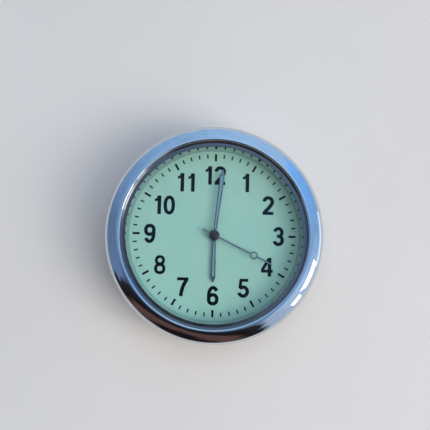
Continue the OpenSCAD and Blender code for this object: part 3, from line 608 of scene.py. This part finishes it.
two_neck = oval_arc(0.30, 0.70, 0.22, 0.222, 176, -28, 26)
two_neck += curve((0.494, 0.596), (0.416, 0.445), (0.095, 0.12))
DIGITS = {
    "0": [closed_stroke(oval(0.295, 0.5, 0.215, 0.42), SLIM_BOWL)],
    "1": [stroke([(0.24, 0.0), (0.24, 1.0)], STEM),
          stroke(oval_arc(-0.01, 0.985, 0.21, 0.235, -90, -4, 10), 0.14)],
    "2": [stroke(two_neck, STEM),
          stroke([(0.005, BAR / 2), (0.59, BAR / 2)], BAR)],
    "3": [stroke(oval_arc(0.285, 0.715, 0.19, 0.21, 168, -82, 24), SLIM_BOWL),
          stroke(oval_arc(0.285, 0.295, 0.215, 0.22, 84, -168, 26), BOWL),
          stroke([(0.20, 0.512), (0.32, 0.512)], 0.155)],
    "4": [stroke([(0.43, 0.0), (0.43, 1.0)], STEM),
          stroke([(-0.02, 0.285), (0.61, 0.285)], BAR),
          stroke([(0.40, 0.95), (0.035, 0.325)], BAR)],
    "5": [stroke([(0.11, 1 - BAR / 2), (0.555, 1 - BAR / 2)], BAR),
          stroke([(0.165, 0.95), (0.118, 0.47)], BAR),
          stroke(oval_arc(0.288, 0.315, 0.227, 0.237, 142, -165, 28), BOWL)],
    "6": six(),
    "7": [stroke([(-0.01, 1 - BAR / 2), (0.595, 1 - BAR / 2)], BAR),
          stroke(curve((0.52, 0.90), (0.245, 0.52), (0.205, 0.0)), STEM)],
    "8": [closed_stroke(oval(0.295, 0.735, 0.19, 0.192), 0.16),
          closed_stroke(oval(0.295, 0.29, 0.22, 0.217), 0.165)],
    "9": upside_down(six()),
}


def digit_width(digit):
    return ONE_W if digit == "1" else DIGIT_W


def digit_gap(text):
    return TWIN_GAP if text == "11" else DIGIT_GAP


def number_width(text):
    wide = sum(digit_width(digit) for digit in text)
    return (wide + digit_gap(text) * (len(text) - 1)) * DIGIT_H


def number_centre(hour):
    """Place at which the number's outermost corner meets the circle that holds all numbers."""
    a = math.radians(30 * hour)
    half_w = number_width(str(hour)) / 2
    half_h = NUMBER_BOX_H / 2
    lean = abs(math.sin(a)) * half_w + abs(math.cos(a)) * half_h
    out = math.sqrt(lean ** 2 - half_w ** 2 - half_h ** 2 + NUMBER_R ** 2) - lean
    if hour % 3:
        out += SLANT_OUT
    up = ELEVEN_UP if hour == 11 else 0
    return (out * math.sin(a) + PRINT_SHIFT[0], out * math.cos(a) + up + PRINT_SHIFT[1])


numbers = bmesh.new()
for hour in range(1, 13):
    text = str(hour)
    centre_x, centre_y = number_centre(hour)
    left = centre_x - number_width(text) / 2
    foot = centre_y - DIGIT_H / 2
    for digit in text:
        for k, shape in enumerate(DIGITS[digit]):
            placed = [[(left + x * DIGIT_H, foot + y * DIGIT_H) for x, y in ring] for ring in shape]
            slab(numbers, placed, Z_FACE, Z_FACE + PRINT_H + PRINT_STEP * k)
        left += (digit_width(digit) + digit_gap(text)) * DIGIT_H
fit(finished("dial_numbers", numbers), ink, "clock", "black_plastic")

# Minute marks: outer end, and length and width
TRACK_R = 15.235
MINUTE_MARK = (0.76, 0.26)
HOUR_MARK = (1.33, 0.40)
marks = bmesh.new()
for minute in range(60):
    length, width = HOUR_MARK if minute % 5 == 0 else MINUTE_MARK
    mark = turn(bar_loop(width, TRACK_R - length, TRACK_R), 6 * minute)
    placed = [(x + PRINT_SHIFT[0], y + PRINT_SHIFT[1]) for x, y in mark]
    slab(marks, [placed], Z_FACE, Z_FACE + PRINT_H)
fit(finished("dial_marks", marks), ink, "clock", "black_plastic")

# Hands: their sides meet the hub at HUB_MEET, and their fillings lie a little below the metal
HUB_MEET = 0.9
POINT_W = 0.1
HAND_BEVEL = 0.04
INLAY_BEVEL = 0.03
INLAY_SINK = 0.02
NEEDLE_BEVEL = 0.03
BOSS_SINK = 0.01
HUB_STEPS = 64
BORE_STEPS = 48


def half_width(length, y):
    return (HAND_ROOT_W + (HAND_W - HAND_ROOT_W) * y / (length - HAND_POINT)) / 2


def inlay_loop(length):
    end = length - HAND_POINT - HAND_EDGE
    near = half_width(length, INLAY_FROM) - HAND_EDGE
    far = half_width(length, end) - HAND_EDGE
    return [(-near, INLAY_FROM), (near, INLAY_FROM), (far, end), (-far, end)]


def hand_loops(length, bore_r, angle):
    """Outline of a baton hand on its hub, then its bore and its opening."""
    lean = math.degrees(math.asin(half_width(length, HUB_MEET) / HUB_R))
    shoulder = length - HAND_POINT
    wide = half_width(length, shoulder)
    outline = arc(0, 0, HUB_R, 90 + lean, 450 - lean, HUB_STEPS)
    outline += [(wide, shoulder), (POINT_W / 2, length), (-POINT_W / 2, length), (-wide, shoulder)]
    bore = circle(bore_r, BORE_STEPS)[::-1]
    opening = inlay_loop(length)[::-1]
    return [turn(points, angle) for points in (outline, bore, opening)]


def baton(node, length, bore_r, angle, body):
    """Metal frame and filling of a hand."""
    low, high = heights(node)
    metal = bmesh.new()
    slab(metal, hand_loops(length, bore_r, angle), low, high, HAND_BEVEL)
    fit(finished(node + "_frame", metal), hand_metal, body, "hand_metal", node)
    filling = bmesh.new()
    slab(filling, [turn(inlay_loop(length), angle)], low, high - INLAY_SINK, INLAY_BEVEL)
    fit(finished(node + "_fill", filling), hand_lume, body, "hand_lume", node + "_inlay")


baton("hour_hand", HOUR_LEN, HOUR_BORE_R, HOUR_ANGLE, "hours")
baton("minute_hand", MINUTE_LEN, MINUTE_BORE_R, MINUTE_ANGLE, "minutes")

# The second hand's two arms end in the middle of its ring's band
low, high = heights("second_hand")
thin = high - SECOND_T
ring_in = RING_D / 2 - RING_BAND
ring_mid = ring_in + RING_BAND / 2
needle = bmesh.new()
for start, end in ((-SECOND_TAIL, RING_AT - ring_mid), (RING_AT + ring_mid, SECOND_LEN)):
    slab(needle, [turn(bar_loop(SECOND_W, start, end), SECOND_ANGLE)], thin, high, NEEDLE_BEVEL)
eye = [circle(RING_D / 2, HUB_STEPS, 0, RING_AT), circle(ring_in, HUB_STEPS, 0, RING_AT)[::-1]]
slab(needle, [turn(points, SECOND_ANGLE) for points in eye], thin, high, HAND_BEVEL)
slab(needle, [circle(BOSS_R, HUB_STEPS), circle(SHAFT_R, BORE_STEPS)[::-1]], low, high - BOSS_SINK)
fit(finished("second_needle", needle), hand_dark, "seconds", "hand_metal", "second_hand")

# The hub cap narrows towards its underside, and its dome ends on the axis
CAP_UNDERCUT = 0.03
CAP_SIDE_H = 0.05
low, high = heights("second_hand_cap")
dome = [(0, low), (HUB_CAP_R - CAP_UNDERCUT, low)]
dome += oval_arc(0, low + CAP_SIDE_H, HUB_CAP_R, CAP_DOME - CAP_SIDE_H, 0, 90, 14)
dome[-1] = (0, high)
fit(turned("hub_cap", dome, CAP_STEPS), hub_dark, "seconds", "hand_metal", "second_hand_cap")

# Floor
HORIZON = (0.69, 0.70, 0.71)
FLOOR_DARK = (0.64, 0.595, 0.545)
FLOOR_LIGHT = (0.665, 0.62, 0.57)
FLOOR_PATCH = 60.0
# Radius in metres, and the distances between which the floor turns into the background
FLOOR_R = 2.5
FLOOR_FADE = (0.12, 0.6)
FLOOR_STEPS = 96


def floor_material():
    """Matt pale floor that runs out into the pale background far from the object."""
    mat, tree, shader = blank("floor")
    colour = tones(tree, noise(tree, FLOOR_PATCH), FLOOR_DARK, FLOOR_LIGHT)
    tree.links.new(colour, shader.inputs["Base Color"])
    shader.inputs["Roughness"].default_value = 0.75
    shader.inputs["Specular IOR Level"].default_value = 0.25
    far = tree.nodes.new("ShaderNodeVectorMath")
    far.operation = "LENGTH"
    tree.links.new(place_in_space(tree), far.inputs[0])
    backdrop = tree.nodes.new("ShaderNodeEmission")
    backdrop.inputs["Color"].default_value = (*HORIZON, 1)
    fade = spread(tree, far.outputs["Value"], 0, 1, FLOOR_FADE)
    end_in_mix(tree, fade, shader.outputs["BSDF"], backdrop.outputs["Emission"])
    return mat


floor_mesh = bmesh.new()
bmesh.ops.create_circle(floor_mesh, cap_ends=True, segments=FLOOR_STEPS, radius=FLOOR_R)
floor = finished("floor", floor_mesh)
floor.data.materials.append(floor_material())

# Light: a pale studio, open towards 12 o'clock and dark towards 6 o'clock
# Sky colours all round, clockwise from 6 o'clock
SKY = (
    (0.20, (0.16, 0.255, 0.43)),
    (0.28, (0.14, 0.225, 0.39)),
    (0.36, (0.225, 0.39, 0.67)),
    (0.45, (0.315, 0.53, 0.83)),
    (0.54, (0.43, 0.68, 1.02)),
    (0.605, (0.42, 0.66, 1.0)),
    (0.62, (0.26, 0.60, 1.18)),
    (0.67, (0.23, 0.52, 1.04)),
    (0.71, (0.29, 0.50, 0.84)),
    (0.80, (0.55, 0.75, 1.02)),
    (0.89, (0.45, 0.56, 0.74)),
)
# Streaks in the sky: how fine they are, and how far they go from darkest to brightest
STREAK_SCALE = 14
STREAK_DEPTH = 0.9
# Dark part of the sky: its middle and its side direction, and its colours from its edge inwards
SHADE_WAY = (-0.2924, -0.9563, 0)
SHADE_SIDE = (0.9563, -0.2924, 0)
SHADE = (
    (0.0, (0.022, 0.022, 0.028)),
    (0.10, (0.012, 0.010, 0.012)),
    (0.15, (0.02, 0.014, 0.015)),
    (0.27, (0.14, 0.075, 0.07)),
    (0.54, (0.12, 0.064, 0.06)),
    (0.66, (0.015, 0.01, 0.012)),
)
# Its edge: how fine its waves are, how it widens towards the horizon, and where it starts
SHADE_WAVES = 5
SHADE_WIDENS = 0.12
SHADE_FROM = -0.095
# Height, as a sine, at which the sky starts above the pale horizon
SKY_FROM = 0.09
# How steeply the sky takes over from the horizon, and the dark part from the sky
STEEP = 15


def studio():
    """World with the pale horizon, the sky with its streaks and its dark part."""
    world = bpy.data.worlds.new("studio")
    world.use_nodes = True
    tree = world.node_tree
    tree.nodes.clear()
    out = tree.nodes.new("ShaderNodeOutputWorld")
    light = tree.nodes.new("ShaderNodeBackground")
    direction = tree.nodes.new("ShaderNodeTexCoord").outputs["Generated"]

    def along(way):
        node = tree.nodes.new("ShaderNodeVectorMath")
        node.operation = "DOT_PRODUCT"
        node.inputs[1].default_value = way
        tree.links.new(direction, node.inputs[0])
        return node.outputs["Value"]

    def calculated(operation, *values):
        node = tree.nodes.new("ShaderNodeMath")
        node.operation = operation
        for k, value in enumerate(values):
            if isinstance(value, (int, float)):
                node.inputs[k].default_value = value
            else:
                tree.links.new(value, node.inputs[k])
        return node.outputs["Value"]

    def step(value, start):
        """Steep change from 0 to 1 that begins at start."""
        change = calculated("MULTIPLY", calculated("SUBTRACT", value, start), STEEP)
        change.node.use_clamp = True
        return change

    def clutter(scale):
        node = tree.nodes.new("ShaderNodeTexNoise")
        node.inputs["Scale"].default_value = scale
        tree.links.new(direction, node.inputs["Vector"])
        return node.outputs["Fac"]

    def mixed(factor):
        node = tree.nodes.new("ShaderNodeMix")
        node.data_type = "RGBA"
        tree.links.new(factor, node.inputs["Factor"])
        return node

    up = along((0, 0, 1))
    low = calculated("SUBTRACT", 1, up)
    clockwise = calculated("ARCTAN2", along((1, 0, 0)), along((0, 1, 0)))
    around = calculated("MULTIPLY_ADD", clockwise, 0.5 / math.pi, 0.5)
    streaks = tree.nodes.new("ShaderNodeVectorMath")
    streaks.operation = "SCALE"
    strength = calculated("MULTIPLY_ADD", clutter(STREAK_SCALE), STREAK_DEPTH, 1 - STREAK_DEPTH / 2)
    tree.links.new(ramp(tree, around, *SKY), streaks.inputs[0])
    tree.links.new(strength, streaks.inputs["Scale"])

    lobe = calculated("SUBTRACT", along(SHADE_WAY), calculated("ABSOLUTE", along(SHADE_SIDE)))
    waves = calculated("SUBTRACT", clutter(SHADE_WAVES), 0.5)
    lobe = calculated("ADD", lobe, calculated("MULTIPLY", low, waves))
    edge = calculated("ADD", lobe, calculated("MULTIPLY", low, SHADE_WIDENS))
    sky = mixed(step(edge, SHADE_FROM))
    tree.links.new(streaks.outputs["Vector"], sky.inputs["A"])
    tree.links.new(ramp(tree, lobe, *SHADE), sky.inputs["B"])

    horizon = mixed(step(up, SKY_FROM))
    horizon.inputs["A"].default_value = (*HORIZON, 1)
    tree.links.new(sky.outputs["Result"], horizon.inputs["B"])
    tree.links.new(horizon.outputs["Result"], light.inputs["Color"])
    tree.links.new(light.outputs["Background"], out.inputs["Surface"])
    bpy.context.scene.world = world


studio()

# Lamps, in metres: all aim at the clock's middle
LAMP_AIM = (0, 0, 0.01)
LAMP_DISTANCE = 0.55
WARM = (1.0, 0.96, 0.90)
COOL = (0.92, 0.96, 1.0)
KEY_COLOUR = (1.0, 0.95, 0.90)
FILL_COLOUR = (1.0, 0.92, 0.79)
FILL_AT = (0.0, 0.06, 0.7)


def area(name, at, size, power, colour):
    """Lamp with a width and a height, in metres, and a power in watts."""
    lamp = bpy.data.lights.new(name, "AREA")
    lamp.shape = "RECTANGLE"
    lamp.size = size[0]
    lamp.size_y = size[1]
    lamp.energy = power
    lamp.color = colour
    ob = bpy.data.objects.new(name, lamp)
    ob.location = at
    ob.rotation_euler = (Vector(LAMP_AIM) - Vector(at)).to_track_quat("-Z", "Y").to_euler()
    bpy.context.scene.collection.objects.link(ob)
    return ob


def lamp_at(azimuth, elevation):
    """Place of a lamp; azimuth runs clockwise from 12 o'clock."""
    a = math.radians(azimuth)
    level, up = polar(LAMP_DISTANCE, elevation)
    return (level * math.sin(a), level * math.cos(a), up)


area("window_wide", lamp_at(108, 37), (0.13, 0.24), 0.40, WARM)
area("window_narrow", lamp_at(124, 30), (0.06, 0.22), 0.12, WARM)
area("window_low", lamp_at(88, 15), (0.28, 0.12), 0.08, COOL)
key = area("key", lamp_at(112, 50), (0.32, 0.34), 1.5, KEY_COLOUR)
fill = area("fill", FILL_AT, (0.6, 0.6), 1.82, FILL_COLOUR)
for soft in (key, fill):
    soft.visible_glossy = False
    soft.visible_transmission = False

# Camera: almost straight above, a little towards half past six, the dial turned slightly clockwise
PICTURE_W = 430
TILT = math.radians(3.3)
LEAN = (-0.28, -0.96)
DISTANCE = 0.13
ROLL = math.radians(1.35)
# Size of a pixel at the target, and how far the picture's middle lies right of and above it, in pixels
PIXEL = 0.1831 * MM
SHIFT_PX = (0.65, 19.7)
TARGET_H = 0.0114
CLIP_START = 0.01
PICTURE_UP = Vector((-math.sin(ROLL), math.cos(ROLL), 0))


def picture_axes(back):
    """Directions to the right and up in the picture of a camera with its back that way."""
    right = PICTURE_UP.cross(back).normalized()
    return right, back.cross(right)


target = Vector((0, 0, TARGET_H))
away = Vector((LEAN[0] * math.sin(TILT), LEAN[1] * math.sin(TILT), math.cos(TILT)))
right, over = picture_axes(away)
aim = target + (right * SHIFT_PX[0] + over * SHIFT_PX[1]) * PIXEL
eye_at = target + away * DISTANCE
back = (eye_at - aim).normalized()
right, over = picture_axes(back)
cam = bpy.data.cameras.new("camera")
cam.sensor_fit = "HORIZONTAL"
cam.angle = 2 * math.atan(PICTURE_W * PIXEL / 2 / DISTANCE)
cam.clip_start = CLIP_START
camera = bpy.data.objects.new("camera", cam)
bpy.context.scene.collection.objects.link(camera)
camera.matrix_world = Matrix.Translation(eye_at) @ Matrix((right, over, back)).transposed().to_4x4()
bpy.context.scene.camera = camera
bpy.context.scene.view_settings.view_transform = "Standard"
